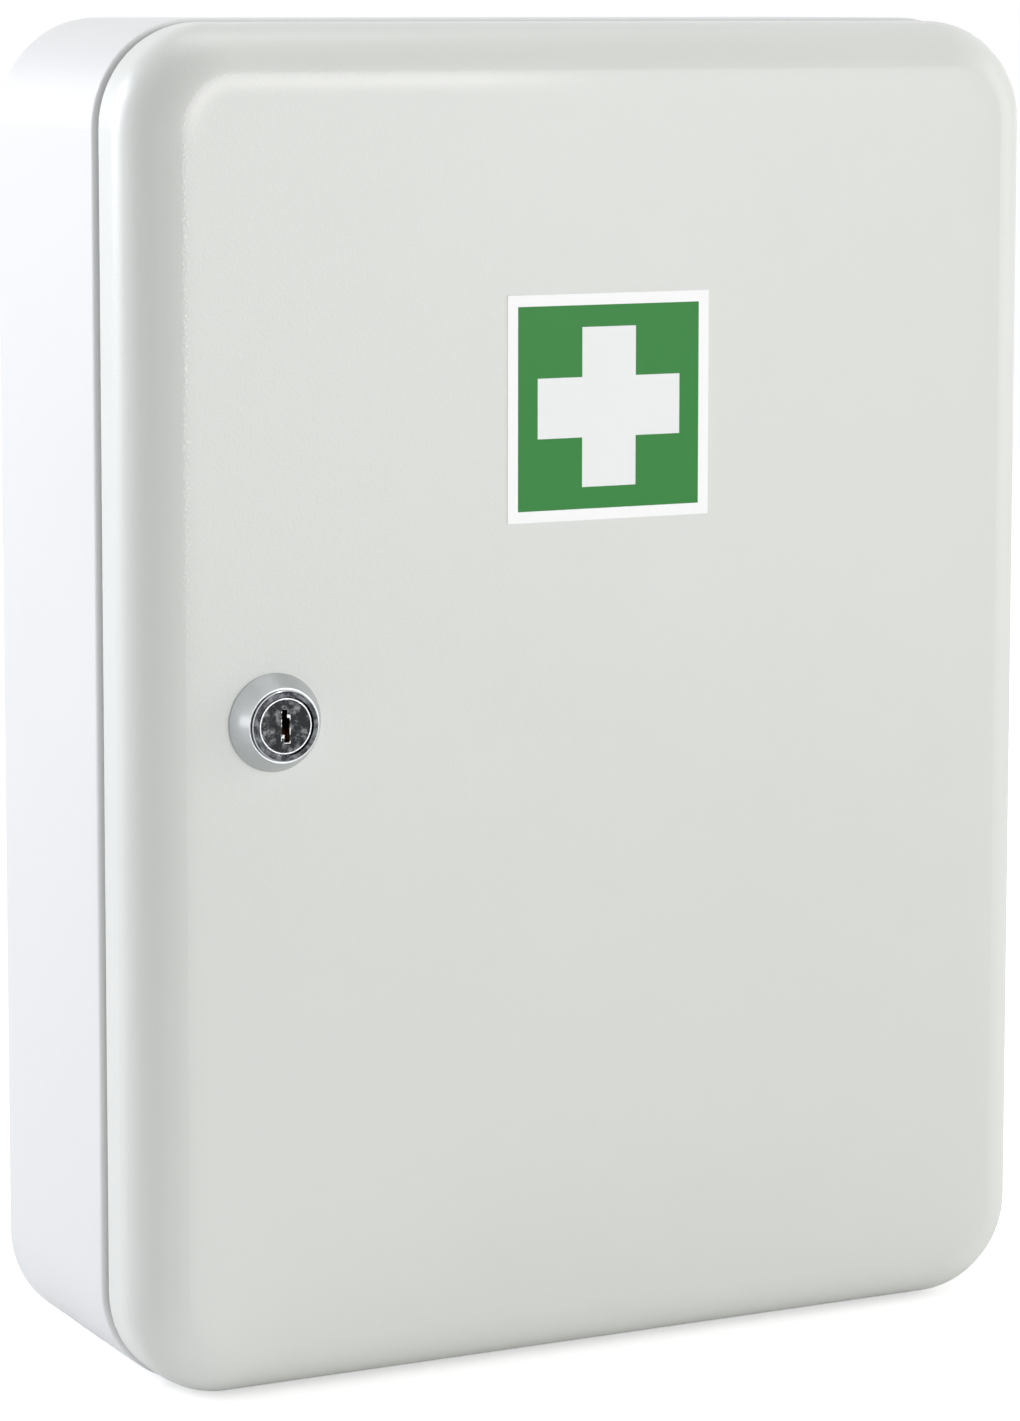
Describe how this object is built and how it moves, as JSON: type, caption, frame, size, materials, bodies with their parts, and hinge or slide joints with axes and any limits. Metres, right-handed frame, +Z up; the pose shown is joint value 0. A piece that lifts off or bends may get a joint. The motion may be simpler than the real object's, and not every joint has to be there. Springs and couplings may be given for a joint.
{
  "type": "lockable medicine cabinet",
  "caption": "Wall cabinet for medicines: a pressed steel body and door with rounded edges, hidden hinges, a quarter-turn cam lock, tray shelves and a sign label.",
  "frame": {"origin": "middle of the four wall holes, on the back face that lies against the wall", "axes": "+X to the right as seen from the front, +Y from the door towards the wall, +Z up"},
  "size_m": [0.27, 0.1074, 0.36],
  "materials": {
    "powder_coat_smooth": "smooth satin powder coat, light grey",
    "powder_coat_textured": "leather-grained powder coat, light grey",
    "powder_coat_inner": "satin powder coat, light grey",
    "zinc_steel": "bright zinc plated",
    "polished_steel": "drawn bright steel",
    "satin_nickel": "satin nickel plated, turned",
    "lock_chrome": "polished chrome plated die casting",
    "plug_chrome": "polished dark chrome",
    "wafer_brass": "stamped brass",
    "vinyl_label": "printed vinyl, green with a white cross and border"
  },
  "bodies": {
    "cabinet": {"cabinet_body": "powder_coat_smooth", "strike_plate": "zinc_steel", "upper_shelf": "powder_coat_inner", "lower_shelf": "powder_coat_inner", "shelf_rail_upper_left": "powder_coat_inner", "shelf_rail_upper_right": "powder_coat_inner", "shelf_rail_lower_left": "powder_coat_inner", "shelf_rail_lower_right": "powder_coat_inner", "shelf_screws": "zinc_steel", "hinge_arm_upper": "zinc_steel", "hinge_arm_lower": "zinc_steel", "hinge_pin_upper": "polished_steel", "hinge_pin_lower": "polished_steel"},
    "door": {"door_pan": "powder_coat_textured", "first_aid_label": "vinyl_label", "hinge_leaf_upper": "zinc_steel", "hinge_leaf_lower": "zinc_steel", "lock_collar": "satin_nickel", "lock_housing": "lock_chrome", "lock_washer": "zinc_steel", "lock_nut": "zinc_steel"},
    "lock_core": {"lock_plug": "plug_chrome", "lock_wafers": "wafer_brass", "wafer_springs": "polished_steel", "stop_plate": "zinc_steel", "lock_cam": "zinc_steel", "cam_washer": "polished_steel", "cam_screw": "zinc_steel"}
  },
  "joints": [
    {"name": "door_hinge", "type": "hinge", "parent": "cabinet", "child": "door", "pos_m": [0.1292, -0.08581, 0], "axis": [0, 0, 1], "range_deg": [0, 110]},
    {"name": "lock_turn", "type": "hinge", "parent": "door", "child": "lock_core", "pos_m": [-0.097, -0.1, 0], "axis": [0, 1, 0], "range_deg": [0, 90]}
  ]
}
